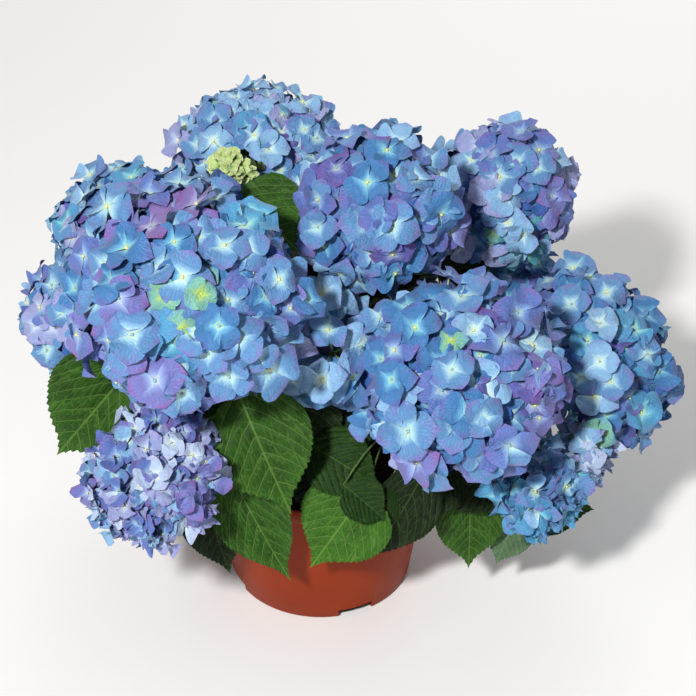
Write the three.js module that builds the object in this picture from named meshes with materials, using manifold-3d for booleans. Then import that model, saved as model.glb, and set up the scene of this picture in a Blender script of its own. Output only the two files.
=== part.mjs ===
// A bigleaf hydrangea in full flower, in a low round nursery pot.
// Millimetres, +Z up. The origin is the centre of the pot's flat underside, and the plant's front is -Y.
// The pot, its compost, each limb, each flower head and each mass of leaves is a closed solid of its own.

import * as THREE from "three";
import { ImprovedNoise } from "three/addons/math/ImprovedNoise.js";
import { mergeVertices } from "three/addons/utils/BufferGeometryUtils.js";
import Module from "manifold-3d";

const wasm = await Module();
wasm.setup();

// ---- Driving dimensions ----

const GAP = 0.4; // left between solids that touch

const POT_H = 116;
const POT_FOOT_R = 65.5;
const POT_TAPER = 0.157; // radius gained for each millimetre of height
const POT_WALL = 1.8;
const POT_FLOOR = 2.4;
const POT_SIDES = 30;
const BAND_H = 13; // the rim's band
const BAND_STEP = 1.2; // how far the band stands proud of the wall

const RECESS_COUNT = 4; // drainage recesses in the edge of the underside
const RECESS_TURN = -67; // compass angle of the first one, from +X
const RECESS_W = 26;
const RECESS_H = 7;
const RECESS_DEPTH = 9;
const DRAIN_R = 3;

const COMPOST_TOP = 101; // at the pot's wall
const COMPOST_MOUND = 5; // rise towards the stem

const TRUNK_H = 24;
const TRUNK_FOOT_R = 14; // at its flare
const TRUNK_R = 9;

const BOUGH_FOOT_R = 4.8;
const BOUGH_TIP_R = 3.8;
const BOUGH_RING_R = 6; // where boughs leave the trunk
const SHOOT_FOOT_R = 3.4;
const SHOOT_TIP_R = 2.4;
const STALK_FOOT_R = 1.6; // the leaf stalk that carries a mass of leaves
const STALK_TIP_R = 2.6;
const LIMB_SIDES = 5;
const LIMB_STEPS = 5;
const STALK_SIDES = 4;
const STALK_STEPS = 3;

const BLOOM_BELOW = 0.72; // a flower head's height below its middle, as a share of that above
const BLOOM_LUMP = 0.07;
const BLOOM_FACET = 27; // width of a flower head for each step of its subdivision
const SHOOT_INSIDE = 12; // how far a shoot runs into its flower head

const LEAF_LUMP = 0.3;
const LEAF_SEGMENTS = [12, 4]; // round a mass of leaves, and over its thickness
const LEAF_ARCH = 0.22; // drop of a leaf mass's ends, as a share of its half length

// ---- Layout. Angles are in degrees, compass angles from +X towards +Y ----

// Each bough leaves the trunk's top and ends where its shoots part.
const BOUGHS = {
  left_front: [-40, -28, 160],
  left_back: [-30, 30, 170],
  middle: [8, -2, 182],
  right: [48, 20, 160],
  front_right: [38, -34, 150],
  back: [4, 48, 154],
};

const SKY = 0x6d92e0;
const AZURE = 0x608cd6;
const LILAC = 0x8790da;
const LIME = 0xb7d28c;

// A flower head: its middle, half size (width, and height above the middle), the way it faces (compass
// angle, and lean from upright), the bough that bears it, and its colour.
const BLOOMS = {
  front_left: { at: [-80, -75, 291], half: [85, 74], faces: [225, 22], bough: "left_front", color: SKY },
  front_right: { at: [90, -80, 226], half: [73, 68], faces: [300, 28], bough: "front_right", color: SKY },
  centre: { at: [38, 6, 301], half: [60, 57], faces: [300, 14], bough: "middle", color: SKY },
  back_left: { at: [-43, 106, 291], half: [59, 47], faces: [110, 12], bough: "left_back", color: LILAC },
  back_right: { at: [127, 87, 257], half: [53, 63], faces: [30, 16], bough: "right", color: LILAC },
  upper_left: { at: [-141, 72, 247], half: [49, 45], faces: [155, 26], bough: "left_back", color: SKY },
  lower_left: { at: [-157, -14, 233], half: [48, 42], faces: [185, 50], bough: "left_front", color: LILAC },
  right: { at: [193, 12, 174], half: [69, 51], faces: [0, 60], bough: "right", color: AZURE },
  low_left: { at: [-107, -113, 173], half: [49, 44], faces: [235, 50], bough: "left_front", color: LILAC },
  low_right: { at: [146, -88, 142], half: [33, 29], faces: [310, 48], bough: "front_right", color: AZURE },
  small_right: { at: [183, -56, 148], half: [22, 20], faces: [335, 55], bough: "front_right", color: AZURE },
  middle: { at: [2, -42, 219], half: [25, 29], faces: [270, 20], bough: "middle", color: SKY },
  back_middle: { at: [64, 142, 196], half: [56, 48], faces: [70, 34], bough: "back", color: SKY },
  back_low_left: { at: [-104, 136, 164], half: [52, 44], faces: [130, 46], bough: "back", color: LILAC },
  back_low_right: { at: [152, 112, 150], half: [44, 38], faces: [42, 50], bough: "right", color: AZURE },
  young: { at: [-60, 42, 310], half: [15, 11], faces: [100, 8], bough: "left_back", color: LIME },
};

// A mass of leaves: its middle, half sizes (length, width, thickness), the compass angle and dip of its
// length, its roll about that, and whether it lies in the shade of the flower heads.
const LEAVES = {
  left: { at: [-130, -60, 188], half: [58, 38, 10], heading: 200, dip: 25, roll: -35, shaded: false },
  front_left: { at: [-36, -100, 186], half: [42, 34, 9], heading: 275, dip: 62, roll: 0, shaded: false },
  over_pot_left: { at: [-41, -100, 119], half: [40, 27, 9], heading: 285, dip: 74, roll: 0, shaded: false },
  front: { at: [30, -74, 150], half: [40, 34, 11], heading: 275, dip: 40, roll: 0, shaded: true },
  over_pot: { at: [22, -94, 124], half: [36, 28, 9], heading: 245, dip: 50, roll: 0, shaded: false },
  front_right: { at: [84, -72, 134], half: [38, 28, 10], heading: 320, dip: 30, roll: 0, shaded: true },
  low_right: { at: [113, -58, 98], half: [36, 33, 9], heading: 320, dip: 60, roll: 20, shaded: false },
  right: { at: [150, -36, 122], half: [46, 32, 10], heading: 325, dip: 24, roll: 15, shaded: true },
  low_left: { at: [-72, -57, 88], half: [34, 24, 9], heading: 222, dip: 64, roll: 0, shaded: true },
  inner: { at: [16, -16, 206], half: [48, 40, 12], heading: 300, dip: 8, roll: 0, shaded: true },
  crown: { at: [26, 24, 236], half: [52, 42, 12], heading: 60, dip: -15, roll: 0, shaded: true },
  top: { at: [-46, 16, 280], half: [42, 32, 10], heading: 30, dip: 10, roll: 0, shaded: false },
  left_back: { at: [-122, 52, 158], half: [58, 42, 11], heading: 160, dip: 22, roll: 0, shaded: false },
  back_left: { at: [-46, 118, 124], half: [52, 38, 10], heading: 112, dip: 52, roll: 0, shaded: false },
  back: { at: [44, 116, 118], half: [52, 38, 10], heading: 68, dip: 52, roll: 0, shaded: false },
  back_right: { at: [122, 54, 118], half: [52, 40, 10], heading: 20, dip: 40, roll: 0, shaded: false },
};

const LEAF_LIT = 0x3f7f2a;
const LEAF_SHADED = 0x234d1b;
const COLORS = { pot: 0x8f3a25, compost: 0x2c2019, trunk: 0x7b6549, bough: 0x77804a, shoot: 0x7fa04c };

// ---- Between three.js geometry and manifold-3d solids ----

function solidOf(geometry) {
  const bare = geometry.clone();
  bare.deleteAttribute("normal");
  bare.deleteAttribute("uv");
  const merged = mergeVertices(bare, 1e-3);
  return new wasm.Manifold(
    new wasm.Mesh({
      numProp: 3,
      vertProperties: merged.attributes.position.array,
      triVerts: new Uint32Array(merged.index.array),
    }),
  );
}

function geometryOf(solid) {
  const { vertProperties, triVerts } = solid.getMesh();
  const geometry = new THREE.BufferGeometry();
  geometry.setAttribute("position", new THREE.BufferAttribute(vertProperties, 3));
  geometry.setIndex(new THREE.BufferAttribute(triVerts, 1));
  geometry.computeVertexNormals();
  return geometry;
}

// The largest piece of a solid once the others are cut away.
function carved(solid, others) {
  const left = others.reduce((body, other) => body.subtract(other), solid);
  return left.decompose().sort((a, b) => b.volume() - a.volume())[0];
}

// ---- Pot ----

function wallRadius(z) {
  return POT_FOOT_R + POT_TAPER * z;
}

// A profile of [radius, height] points turned about Z.
function turned(profile, sides) {
  const points = profile.map(([radius, height]) => new THREE.Vector2(radius, height));
  return solidOf(new THREE.LatheGeometry(points, sides).rotateX(Math.PI / 2));
}

// The outer face from the underside's middle to the rim, `grow` larger all over.
function potOutside(grow) {
  const bandFoot = POT_H - BAND_H;
  const bandR = wallRadius(bandFoot) + BAND_STEP;
  return [
    [0, -grow],
    [wallRadius(0) - 1 + grow, -grow],
    [wallRadius(1) + grow, 1],
    [wallRadius(bandFoot) + grow, bandFoot - grow],
    [bandR + grow, bandFoot + 0.6 - grow],
    [bandR + POT_TAPER * BAND_H + grow, POT_H + grow],
  ];
}

function potInside() {
  const bandFoot = POT_H - BAND_H;
  return [
    [wallRadius(POT_H) + BAND_STEP - POT_WALL, POT_H],
    [wallRadius(bandFoot) + BAND_STEP - POT_WALL, bandFoot + 1.2],
    [wallRadius(bandFoot) - POT_WALL, bandFoot],
    [wallRadius(POT_FLOOR) - POT_WALL, POT_FLOOR],
    [0, POT_FLOOR],
  ];
}

function potEnvelope(grow) {
  return turned([...potOutside(grow), [0, POT_H + grow]], POT_SIDES);
}

// One shape at each recess, from a geometry that lies on the +X side.
function atEachRecess(geometry) {
  return Array.from({ length: RECESS_COUNT }, (_, k) => {
    const turn = THREE.MathUtils.degToRad(RECESS_TURN + (k * 360) / RECESS_COUNT);
    return solidOf(geometry.clone().rotateZ(turn));
  });
}

// The recesses as blocks that run out past the pot's edge, with `lining` added inwards, sideways and on top.
function recessBlocks(lining) {
  const length = 2 * (RECESS_DEPTH + lining);
  const block = new THREE.BoxGeometry(length, RECESS_W + 2 * lining, 2 * (RECESS_H + lining));
  return atEachRecess(block.translate(POT_FOOT_R, 0, 0));
}

function drainHoles() {
  const hole = new THREE.CylinderGeometry(DRAIN_R, DRAIN_R, 4 * POT_WALL, 12).rotateZ(Math.PI / 2);
  return atEachRecess(hole.translate(POT_FOOT_R - RECESS_DEPTH, 0, RECESS_H / 2));
}

function potSolid() {
  const envelope = potEnvelope(0);
  const linings = recessBlocks(POT_WALL).map((block) => block.intersect(envelope));
  const shell = turned([...potOutside(0), ...potInside()], POT_SIDES);
  const lined = linings.reduce((pot, lining) => pot.add(lining), shell);
  return carved(lined, [...recessBlocks(0), ...drainHoles()]);
}

// ---- Compost: fills the pot to a little below its rim ----

function compostSolid() {
  const edge = wallRadius(COMPOST_TOP) - POT_WALL - GAP;
  const fill = turned(
    [
      [0, POT_FLOOR + GAP],
      [wallRadius(POT_FLOOR) - POT_WALL - GAP, POT_FLOOR + GAP],
      [edge, COMPOST_TOP],
      [0.6 * edge, COMPOST_TOP + 0.6 * COMPOST_MOUND],
      [0.3 * edge, COMPOST_TOP + COMPOST_MOUND],
      [0, COMPOST_TOP + COMPOST_MOUND],
    ],
    POT_SIDES,
  );
  return carved(fill, recessBlocks(POT_WALL + GAP));
}

// ---- Limbs ----

// The short woody stem: flared at a flat foot on the compost, tapered to the crown that bears the boughs.
function trunkSolid(grow) {
  const foot = COMPOST_TOP + COMPOST_MOUND + GAP;
  return turned(
    [
      [0, foot - grow],
      [TRUNK_FOOT_R + grow, foot - grow],
      [TRUNK_R + 1.5 + grow, foot + 0.25 * TRUNK_H],
      [TRUNK_R + grow, foot + 0.8 * TRUNK_H],
      [0.6 * TRUNK_R + grow, foot + TRUNK_H + grow],
      [0, foot + TRUNK_H + grow],
    ],
    2 * LIMB_SIDES,
  );
}

// A tapered limb: a cylinder bent along a curve, thick at the curve's start, `grow` larger all over.
function limbSolid({ curve, footR, tipR, sides, steps }, grow) {
  const geometry = new THREE.CylinderGeometry(tipR + grow, footR + grow, 1, sides, steps);
  const { tangents, normals, binormals } = curve.computeFrenetFrames(steps);
  const place = geometry.attributes.position;
  for (let i = 0; i < place.count; i++) {
    const station = Math.round((place.getY(i) + 0.5) * steps);
    const beyond = station === 0 ? -grow : station === steps ? grow : 0;
    const moved = curve.getPointAt(station / steps).addScaledVector(tangents[station], beyond);
    moved.addScaledVector(normals[station], place.getX(i));
    moved.addScaledVector(binormals[station], -place.getZ(i));
    place.setXYZ(i, moved.x, moved.y, moved.z);
  }
  return solidOf(geometry);
}

function boughLimb(tip) {
  const end = new THREE.Vector3(...tip);
  const crown = COMPOST_TOP + COMPOST_MOUND + 0.7 * TRUNK_H;
  const outward = new THREE.Vector3(end.x, end.y, 0).normalize();
  const start = outward.clone().multiplyScalar(BOUGH_RING_R).setZ(crown);
  const bend = start.clone().lerp(end, 0.45).addScaledVector(outward, 0.15 * start.distanceTo(end));
  return {
    curve: new THREE.QuadraticBezierCurve3(start, bend, end),
    footR: BOUGH_FOOT_R,
    tipR: BOUGH_TIP_R,
    sides: LIMB_SIDES,
    steps: LIMB_STEPS,
  };
}

function facing([compass, lean]) {
  const flat = THREE.MathUtils.degToRad(compass);
  const down = THREE.MathUtils.degToRad(lean);
  return new THREE.Vector3(Math.sin(down) * Math.cos(flat), Math.sin(down) * Math.sin(flat), Math.cos(down));
}

// From the bough's tip, at first along the bough, to just inside the flower head's underside.
function shootLimb({ at, half: [, height], faces, bough }) {
  const start = new THREE.Vector3(...BOUGHS[bough]);
  const axis = facing(faces);
  const end = new THREE.Vector3(...at).addScaledVector(axis, SHOOT_INSIDE - BLOOM_BELOW * height);
  const reach = start.distanceTo(end);
  const leaving = boughLimb(BOUGHS[bough]).curve.getTangentAt(1);
  return {
    curve: new THREE.CubicBezierCurve3(
      start,
      start.clone().addScaledVector(leaving, 0.3 * reach),
      end.clone().addScaledVector(axis, -0.35 * reach),
      end,
    ),
    footR: SHOOT_FOOT_R,
    tipR: SHOOT_TIP_R,
    sides: LIMB_SIDES,
    steps: LIMB_STEPS,
  };
}

// ---- Flower heads and masses of leaves ----

const noise = new ImprovedNoise();

// How far the surface lies from the middle in a direction, 1 on average: lumps that differ from mass to mass.
function lumpiness(way, seed, depth) {
  const broad = noise.noise(1.3 * way.x + seed, 1.3 * way.y, 1.3 * way.z);
  const fine = noise.noise(3.1 * way.x, 3.1 * way.y + seed, 3.1 * way.z);
  return 1 + depth * (1.4 * broad + 0.8 * fine);
}

// A flower head: a lumpy dome, flatter beneath, turned to face along its axis.
function bloomSolid({ at, half: [width, height], faces }, seed, grow) {
  const geometry = new THREE.IcosahedronGeometry(1, Math.min(3, Math.round(width / BLOOM_FACET)));
  const place = geometry.attributes.position;
  const way = new THREE.Vector3();
  for (let i = 0; i < place.count; i++) {
    way.fromBufferAttribute(place, i);
    const lump = lumpiness(way, seed, BLOOM_LUMP);
    const rise = (way.z > 0 ? 1 : BLOOM_BELOW) * height;
    place.setXYZ(
      i,
      way.x * (width * lump + grow),
      way.y * (width * lump + grow),
      way.z * (rise * lump + grow),
    );
  }
  const turn = new THREE.Quaternion().setFromUnitVectors(new THREE.Vector3(0, 0, 1), facing(faces));
  return solidOf(geometry.applyQuaternion(turn).translate(...at));
}

// The pad of a mass of leaves: thin, uneven in outline, and arched over its length.
function leafPad({ at, half, heading, dip, roll }, seed, grow) {
  const [length, width, thickness] = half;
  const geometry = new THREE.SphereGeometry(1, ...LEAF_SEGMENTS).rotateX(Math.PI / 2);
  const place = geometry.attributes.position;
  const way = new THREE.Vector3();
  for (let i = 0; i < place.count; i++) {
    way.fromBufferAttribute(place, i);
    const lump = lumpiness(way, seed, LEAF_LUMP);
    const x = way.x * (length * lump + grow);
    const y = way.y * (width * lump + grow);
    const arch = LEAF_ARCH * length * (0.5 - (x / length) ** 2);
    place.setXYZ(i, x, y, way.z * (thickness + grow) + arch);
  }
  geometry.rotateX(THREE.MathUtils.degToRad(roll));
  geometry.rotateY(THREE.MathUtils.degToRad(dip));
  geometry.rotateZ(THREE.MathUtils.degToRad(heading));
  return solidOf(geometry.translate(...at));
}

// The stalk that carries a mass of leaves, from the nearest place on a limb to the pad's inner half.
function leafStalk({ at, half, heading, dip }, limbs) {
  const inward = new THREE.Vector3(-0.45 * half[0], 0, 0);
  inward.applyEuler(new THREE.Euler(0, THREE.MathUtils.degToRad(dip), 0));
  inward.applyAxisAngle(new THREE.Vector3(0, 0, 1), THREE.MathUtils.degToRad(heading));
  const end = new THREE.Vector3(...at).add(inward);
  const places = limbs.flatMap((limb) => limb.curve.getSpacedPoints(4 * LIMB_STEPS).slice(1, -4));
  const start = places.reduce((near, place) => (place.distanceTo(end) < near.distanceTo(end) ? place : near));
  const rise = 0.2 * start.distanceTo(end);
  const bend = start.clone().lerp(end, 0.5).add(new THREE.Vector3(0, 0, rise));
  return {
    curve: new THREE.QuadraticBezierCurve3(start, bend, end),
    footR: STALK_FOOT_R,
    tipR: STALK_TIP_R,
    sides: STALK_SIDES,
    steps: STALK_STEPS,
  };
}

// ---- Assembly: what carries is made first, and each later solid is cut round the earlier ones ----

const plant = new THREE.Group();
const taken = []; // solids already placed, each grown by the gap

function place(name, solid, origin, color, roughness) {
  const [x, y, z] = origin;
  const geometry = geometryOf(solid).translate(-x, -y, -z);
  const mesh = new THREE.Mesh(geometry, new THREE.MeshStandardMaterial({ color, roughness, metalness: 0 }));
  mesh.name = name;
  mesh.position.set(x, y, z);
  plant.add(mesh);
}

place("pot", potSolid(), [0, 0, 0], COLORS.pot, 0.55);
place("compost", compostSolid(), [0, 0, POT_FLOOR], COLORS.compost, 0.95);
place("trunk", trunkSolid(0), [0, 0, COMPOST_TOP + COMPOST_MOUND], COLORS.trunk, 0.9);
taken.push(potEnvelope(GAP), trunkSolid(GAP));

const limbs = [];

function placeLimb(name, limb, origin, color) {
  const solid = carved(limbSolid(limb, 0), taken.slice(1));
  place(name, solid, origin, color, 0.8);
  taken.push(limbSolid(limb, GAP));
  limbs.push(limb);
}

for (const [name, tip] of Object.entries(BOUGHS)) {
  placeLimb(`bough_${name}`, boughLimb(tip), tip, COLORS.bough);
}
for (const [name, bloom] of Object.entries(BLOOMS)) {
  placeLimb(`shoot_${name}`, shootLimb(bloom), BOUGHS[bloom.bough], COLORS.shoot);
}

Object.entries(BLOOMS).forEach(([name, bloom], k) => {
  const solid = carved(bloomSolid(bloom, k, 0), taken);
  place(`bloom_${name}`, solid, bloom.at, bloom.color, 0.7);
  taken.push(bloomSolid(bloom, k, GAP));
});

Object.entries(LEAVES).forEach(([name, mass], k) => {
  const stalk = leafStalk(mass, limbs);
  const solid = leafPad(mass, k, 0).add(limbSolid(stalk, 0));
  place(`leaves_${name}`, carved(solid, taken), mass.at, mass.shaded ? LEAF_SHADED : LEAF_LIT, 0.6);
  taken.push(leafPad(mass, k, GAP).add(limbSolid(stalk, GAP)));
});

export default plant;
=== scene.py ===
# A bigleaf hydrangea in full flower, in a low round nursery pot.
# Metres, +Z up, with the plant's front towards -Y and the pot's underside on the ground.
import math
import random

import bmesh
import bpy
import numpy as np
from mathutils import Matrix, Vector, noise
from mathutils.bvhtree import BVHTree


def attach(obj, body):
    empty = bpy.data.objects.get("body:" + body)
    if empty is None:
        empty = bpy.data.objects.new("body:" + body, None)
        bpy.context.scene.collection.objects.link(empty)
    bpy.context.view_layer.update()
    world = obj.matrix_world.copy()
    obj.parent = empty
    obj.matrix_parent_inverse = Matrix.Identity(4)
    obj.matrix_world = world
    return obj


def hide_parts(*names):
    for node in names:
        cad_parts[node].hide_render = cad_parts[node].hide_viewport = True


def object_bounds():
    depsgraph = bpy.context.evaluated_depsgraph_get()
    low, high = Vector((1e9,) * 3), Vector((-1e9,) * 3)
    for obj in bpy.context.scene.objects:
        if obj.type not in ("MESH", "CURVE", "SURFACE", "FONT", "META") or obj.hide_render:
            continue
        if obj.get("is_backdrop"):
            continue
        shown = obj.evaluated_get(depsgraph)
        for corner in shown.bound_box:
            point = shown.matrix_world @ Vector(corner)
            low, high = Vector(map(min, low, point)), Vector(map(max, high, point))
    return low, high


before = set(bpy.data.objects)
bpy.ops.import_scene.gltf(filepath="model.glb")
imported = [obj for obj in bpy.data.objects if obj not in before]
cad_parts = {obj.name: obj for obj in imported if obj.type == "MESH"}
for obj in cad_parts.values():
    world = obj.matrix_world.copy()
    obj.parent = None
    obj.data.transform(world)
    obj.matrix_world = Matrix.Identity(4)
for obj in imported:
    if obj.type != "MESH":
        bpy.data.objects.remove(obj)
cad_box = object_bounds()
scene = bpy.context.scene


# ---- Pot ----
# A low round nursery pot, moulded in terracotta-coloured plastic. A stiffening band runs round its rim,
# and four drainage recesses are let into the edge of its foot.
TURN = 2 * math.pi
POT_HEIGHT = 0.116
POT_FOOT = 0.0655  # radius at the foot
POT_TAPER = 0.157  # how much its radius grows for each unit of height
POT_WALL = 0.0018
POT_FLOOR = 0.0024
BAND = 0.013  # height of the rim's band
BAND_STEP = 0.0012  # how far it stands proud of the wall
RECESSES = 4
FIRST_RECESS = math.radians(-67)
RECESS_WIDE = 0.026
RECESS_HIGH = 0.007
RECESS_DEEP = 0.009
DRAIN = 0.003  # radius of the hole in each recess's inner wall
POT_SIDES = 128


def paint(code):
    """A paint-chart colour such as "8f3a25" as a linear colour."""
    parts = [int(code[i : i + 2], 16) / 255 for i in (0, 2, 4)]
    return [c / 12.92 if c <= 0.04045 else ((c + 0.055) / 1.055) ** 2.4 for c in parts] + [1]


def wall_radius(z):
    return POT_FOOT + POT_TAPER * z


def turned(bm, profile, steps):
    """A profile of (radius, height) points turned about the pot's axis and closed at its poles."""
    points = [bm.verts.new((radius, 0, height)) for radius, height in profile]
    edges = [bm.edges.new(pair) for pair in zip(points, points[1:])]
    bmesh.ops.spin(
        bm, geom=points + edges, cent=(0, 0, 0), axis=(0, 0, 1), angle=TURN, steps=steps, use_merge=True
    )
    bmesh.ops.remove_doubles(bm, verts=bm.verts, dist=1e-6)
    bmesh.ops.recalc_face_normals(bm, faces=bm.faces)


def mesh_from(bm, name):
    mesh = bpy.data.meshes.new(name)
    bm.to_mesh(mesh)
    bm.free()
    return mesh


def linked(name, data):
    made = bpy.data.objects.new(name, data)
    scene.collection.objects.link(made)
    return made


def piece_of(mesh, name, finishes, smooth=True):
    """The mesh as a finished piece at the origin, riding on the plant's one body."""
    for finish in finishes:
        mesh.materials.append(finish)
    if smooth:
        mesh.shade_smooth()
    piece = linked(name, mesh)
    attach(piece, "root")
    return piece


def piece_from(bm, name, finish, smooth=True):
    return piece_of(mesh_from(bm, name), name, [finish], smooth)


class Finish:
    """A material being mixed: its nodes are added one by one."""

    def __init__(self, name, rough, shine=0.3):
        self.material = bpy.data.materials.new(name)
        self.material.use_nodes = True
        self.tree = self.material.node_tree
        self.shader = self.tree.nodes["Principled BSDF"]
        self.shader.inputs["Roughness"].default_value = rough
        self.shader.inputs["Specular IOR Level"].default_value = shine

    def node(self, kind, **inputs):
        """A new node. Its inputs are given by name, or by number as _0, _1 and so on."""
        made = self.tree.nodes.new("ShaderNode" + kind)
        for key, value in inputs.items():
            self.feed(made.inputs[int(key[1:]) if key[0] == "_" else key.replace("_", " ")], value)
        return made

    def feed(self, socket, value):
        if isinstance(value, bpy.types.NodeSocket):
            self.tree.links.new(value, socket)
        else:
            socket.default_value = value

    def sum(self, work, first, second=0.0, third=0.0):
        """One step of arithmetic, such as "ADD"."""
        made = self.node("Math", _0=first, _1=second, _2=third)
        made.operation = work
        return made.outputs[0]

    def times(self, first, second):
        return self.sum("MULTIPLY", first, second)

    def place(self, layer=None):
        """Where a point is: on the piece itself, or on the map of that name."""
        if layer is None:
            return self.node("TexCoord").outputs["Object"]
        made = self.node("UVMap")
        made.uv_map = layer
        return made.outputs["UV"]

    def net(self, at, scale, uneven):
        """How far a point is from the threads of an irregular net."""
        made = self.node("TexVoronoi", Vector=at, Scale=scale, Randomness=uneven)
        made.feature = "DISTANCE_TO_EDGE"
        return made.outputs["Distance"]

    def cloud(self, at, scale, detail=3.0, rough=0.5):
        made = self.node("TexNoise", Vector=at, Scale=scale, Detail=detail, Roughness=rough)
        return made.outputs["Fac"]

    def ramp(self, value, *stops):
        """A blend through (position, colour) stops."""
        made = self.node("ValToRGB", Fac=value)
        steps = made.color_ramp.elements
        while len(steps) < len(stops):
            steps.new(0.5)
        for step, (position, colour) in zip(steps, stops):
            step.position = position
            step.color = colour
        return made.outputs["Color"]

    def grade(self, value, low, high):
        """The value taken from low..high to 0..1."""
        made = self.node("MapRange", Value=value, From_Min=low, From_Max=high)
        return made.outputs["Result"]

    def fade(self, value, low, high):
        """The value taken from low..high to 1..0."""
        return self.sum("SUBTRACT", 1, self.grade(value, low, high))

    def blend(self, share, first, second, way="MIX"):
        made = self.node("MixRGB", Fac=share, Color1=first, Color2=second)
        made.blend_type = way
        return made.outputs["Color"]

    def coat(self, colour, height=None, strength=0.3, depth=0.0005, rough=None):
        """Puts the colour, the relief and the roughness on the shader, and gives the material."""
        self.feed(self.shader.inputs["Base Color"], colour)
        if height is not None:
            bump = self.node("Bump", Strength=strength, Distance=depth, Height=height)
            self.feed(self.shader.inputs["Normal"], bump.outputs["Normal"])
        if rough is not None:
            self.feed(self.shader.inputs["Roughness"], rough)
        return self.material


def satin_plastic():
    finish = Finish("terracotta_plastic", 0.5, 0.12)
    at = finish.place()
    broad = finish.cloud(at, 14, 2)
    fine = finish.cloud(at, 900, 2)
    colour = finish.ramp(broad, (0.3, paint("862f12")), (0.7, paint("923515")))
    rough = finish.sum("MULTIPLY_ADD", finish.cloud(at, 45, 4), 0.16, 0.42)
    return finish.coat(colour, fine, 0.08, 0.0002, rough)


band_foot = POT_HEIGHT - BAND
band_radius = wall_radius(band_foot) + BAND_STEP
rim_radius = band_radius + POT_TAPER * BAND
outer_wall = [
    (0, 0),
    (POT_FOOT - 0.0022, 0),
    (POT_FOOT - 0.0012, 0.0002),
    (POT_FOOT - 0.0004, 0.0008),
    (wall_radius(0.002), 0.002),
    (wall_radius(0.03), 0.03),
    (wall_radius(band_foot - 0.0005), band_foot - 0.0005),
    (band_radius - 0.0003, band_foot + 0.0001),
    (band_radius, band_foot + 0.0006),
    (rim_radius, POT_HEIGHT - 0.0008),
    (rim_radius - 0.0003, POT_HEIGHT - 0.0002),
    (rim_radius - 0.0009, POT_HEIGHT),
]
inner_wall = [
    (rim_radius - POT_WALL + 0.0003, POT_HEIGHT - 0.0003),
    (rim_radius - POT_WALL, POT_HEIGHT - 0.001),
    (band_radius - POT_WALL, band_foot + 0.0012),
    (wall_radius(band_foot) - POT_WALL, band_foot),
    (wall_radius(POT_FLOOR) - POT_WALL, POT_FLOOR + 0.001),
    (wall_radius(POT_FLOOR) - POT_WALL - 0.001, POT_FLOOR),
    (0, POT_FLOOR),
]
recess_turns = [Matrix.Rotation(FIRST_RECESS + k * TURN / RECESSES, 4, "Z") for k in range(RECESSES)]


def recess_blocks(bm, lining):
    """A block in each recess that runs out past the pot's edge, with a lining's thickness added."""
    size = (2 * (RECESS_DEEP + lining), RECESS_WIDE + 2 * lining, 2 * (RECESS_HIGH + lining), 1)
    for turn in recess_turns:
        place = turn @ Matrix.Translation((POT_FOOT, 0, 0)) @ Matrix.Diagonal(size)
        bmesh.ops.create_cube(bm, size=1, matrix=place)


def drain_holes(bm):
    for turn in recess_turns:
        place = turn @ Matrix.Translation((POT_FOOT - RECESS_DEEP, 0, RECESS_HIGH / 2))
        lying = place @ Matrix.Rotation(math.pi / 2, 4, "Y")
        bmesh.ops.create_cone(
            bm, cap_ends=True, segments=24, radius1=DRAIN, radius2=DRAIN, depth=4 * POT_WALL, matrix=lying
        )


def worked(mesh, tool, operation):
    """The mesh after the tool's solid is joined to it, taken from it or kept in common with it."""
    blank, cutter = linked("blank", mesh), linked("cutter", tool)
    step = blank.modifiers.new("step", "BOOLEAN")
    step.object, step.operation, step.solver = cutter, operation, "EXACT"
    bpy.context.view_layer.update()
    result = bpy.data.meshes.new_from_object(blank.evaluated_get(bpy.context.evaluated_depsgraph_get()))
    for used in (blank, cutter):
        bpy.data.objects.remove(used)
    return result


def solid(build, *sizes):
    bm = bmesh.new()
    build(bm, *sizes)
    return mesh_from(bm, "solid")


filled = solid(turned, outer_wall + [(0, POT_HEIGHT)], POT_SIDES)
linings = worked(solid(recess_blocks, POT_WALL), filled, "INTERSECT")
pot_mesh = worked(solid(turned, outer_wall + inner_wall, POT_SIDES), linings, "UNION")
pot_mesh = worked(pot_mesh, solid(recess_blocks, 0), "DIFFERENCE")
pot_mesh = worked(pot_mesh, solid(drain_holes), "DIFFERENCE")
bm = bmesh.new()
bm.from_mesh(pot_mesh)
bmesh.ops.remove_doubles(bm, verts=bm.verts, dist=2e-6)
pot = piece_from(bm, "nursery_pot", satin_plastic())
pot.data.set_sharp_from_angle(angle=math.radians(40))
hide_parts("pot")


# ---- Compost ----
# Dark peat compost with bark fines, filling the pot to a little below its rim and heaped
# towards the stem. It is poured in and settled by watering, so its face is rough and crumbly.
COMPOST_TOP = 0.101
COMPOST_MOUND = 0.005
MOUND_REACH = 0.075  # from the stem to where the heap runs out level
COMPOST_GAP = 0.0022  # from the wall's outer face, so that it stands just clear of the inside
COMPOST_RINGS = 15
LUMPS = ((90, 0.0016), (260, 0.0011))  # how closely the lumps of its face lie, and how high they are
CRUMBS = 520
CRUMB_SIZES = (0.0008, 0.0024)


def peat():
    finish = Finish("peat", 0.95, 0.15)
    at = finish.place()
    fibre = finish.cloud(at, 420, 4, 0.7)
    damp = finish.cloud(at, 60, 2)
    colour = finish.ramp(fibre, (0.32, paint("1d140e")), (0.55, paint("35251a")), (0.72, paint("574030")))
    colour = finish.blend(finish.grade(damp, 0.4, 0.7), colour, paint("20160f"))
    return finish.coat(colour, fibre, 0.8, 0.002)


def heap(radius):
    """The compost's height at a distance from the stem."""
    return COMPOST_TOP + COMPOST_MOUND * (1 - min(1, radius / MOUND_REACH) ** 2)


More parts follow.
